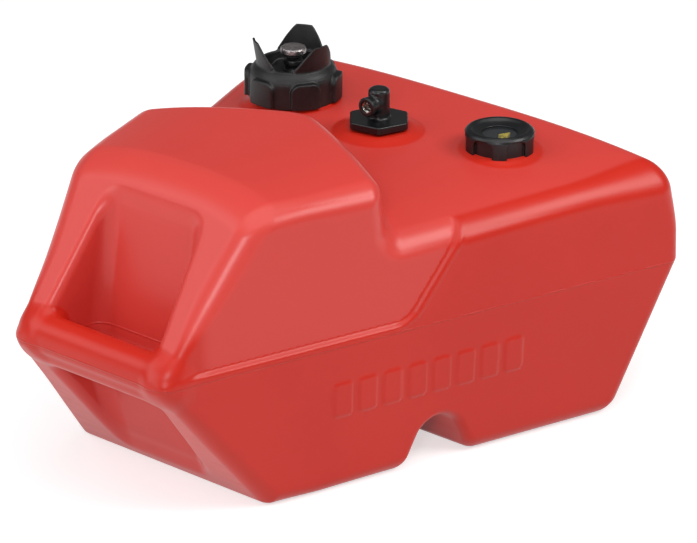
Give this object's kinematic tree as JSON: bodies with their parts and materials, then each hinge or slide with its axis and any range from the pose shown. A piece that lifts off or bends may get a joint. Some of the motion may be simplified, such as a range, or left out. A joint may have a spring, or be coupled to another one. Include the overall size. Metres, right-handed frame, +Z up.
{
  "type": "outboard fuel tank",
  "caption": "Wedge-shaped moulded fuel tank for an outboard motor, with a raised front, nose grip, strap channel, vented filler cap, fuel pickup and float gauge.",
  "frame": {"origin": "bottom centre of the bounding box, on the floor under the middle of the tank", "axes": "+X from the narrow nose to the wide rear, +Z up, -Y is the side with the gauge"},
  "size_m": [0.48, 0.449, 0.2735],
  "materials": {
    "tank_red": "satin gloss blow-moulded polyethylene",
    "cap_black": "satin moulded nylon with a fine grain",
    "fitting_black": "satin moulded plastic",
    "seal_rubber": "smooth fuel-proof rubber",
    "screw_steel": "hammered zinc-plated steel",
    "rod_steel": "drawn stainless steel",
    "insert_brass": "turned brass",
    "strainer_brass": "fine woven brass gauze, drawn as a plain thimble",
    "tube_plastic": "extruded nylon tube",
    "dial_dark": "dark printed dial card",
    "lens_clear": "clear moulded lens",
    "pointer_yellow": "yellow moulded pointer",
    "float_black": "closed-cell nitrile foam"
  },
  "bodies": {
    "tank": {"tank_shell": "tank_red", "pickup_fitting": "fitting_black", "pickup_o_ring": "seal_rubber", "pickup_insert": "insert_brass", "pickup_tube": "tube_plastic", "pickup_strainer": "strainer_brass", "gauge_gasket": "seal_rubber", "gauge_housing": "fitting_black", "gauge_dial": "dial_dark", "gauge_bush": "insert_brass", "gauge_guide_rods": "rod_steel", "gauge_foot": "fitting_black"},
    "filler_seal": {"filler_gasket": "seal_rubber"},
    "filler_cap": {"filler_cap_shell": "cap_black", "filler_cap_liner": "cap_black", "vent_post": "cap_black"},
    "vent_seal": {"vent_washer": "seal_rubber"},
    "vent_knob": {"vent_screw": "screw_steel", "vent_clip": "screw_steel"},
    "gauge_window": {"gauge_lens": "lens_clear"},
    "gauge_ring": {"gauge_cap": "cap_black"},
    "float": {"gauge_float": "float_black", "float_key": "rod_steel"},
    "pointer": {"gauge_pointer": "pointer_yellow", "gauge_spindle": "rod_steel"}
  },
  "joints": [
    {"name": "filler_lift", "type": "slide", "parent": "tank", "child": "filler_seal", "axis": [0, 0, 1], "range_m": [0, 0.01]},
    {"name": "filler_turn", "type": "hinge", "parent": "filler_seal", "child": "filler_cap", "pos_m": [0.129, 0.107, 0.2215], "axis": [0, 0, 1], "range_deg": [0, 720]},
    {"name": "vent_lift", "type": "slide", "parent": "filler_cap", "child": "vent_seal", "axis": [0, 0, 1], "range_m": [0, 0.003]},
    {"name": "vent_turn", "type": "hinge", "parent": "vent_seal", "child": "vent_knob", "pos_m": [0.129, 0.107, 0.2515], "axis": [0, 0, 1], "range_deg": [0, 720]},
    {"name": "gauge_lift", "type": "slide", "parent": "tank", "child": "gauge_window", "axis": [0, 0, 1], "range_m": [0, 0.008]},
    {"name": "gauge_turn", "type": "hinge", "parent": "gauge_window", "child": "gauge_ring", "pos_m": [0.151, -0.1, 0.219], "axis": [0, 0, 1], "range_deg": [0, 720]},
    {"name": "float_rise", "type": "slide", "parent": "tank", "child": "float", "axis": [0, 0, 1], "range_m": [0, 0.13]},
    {"name": "pointer_turn", "type": "hinge", "parent": "tank", "child": "pointer", "pos_m": [0.151, -0.1, 0.219], "axis": [0, 0, 1], "range_deg": [-240, 0]}
  ],
  "couplings": [
    {"joint": "filler_lift", "follows": "filler_turn", "m_per_rad": 0.000795},
    {"joint": "vent_lift", "follows": "vent_turn", "m_per_rad": 0.000238},
    {"joint": "gauge_lift", "follows": "gauge_turn", "m_per_rad": 0.000636},
    {"joint": "pointer_turn", "follows": "float_rise", "rad_per_m": -32.22}
  ]
}
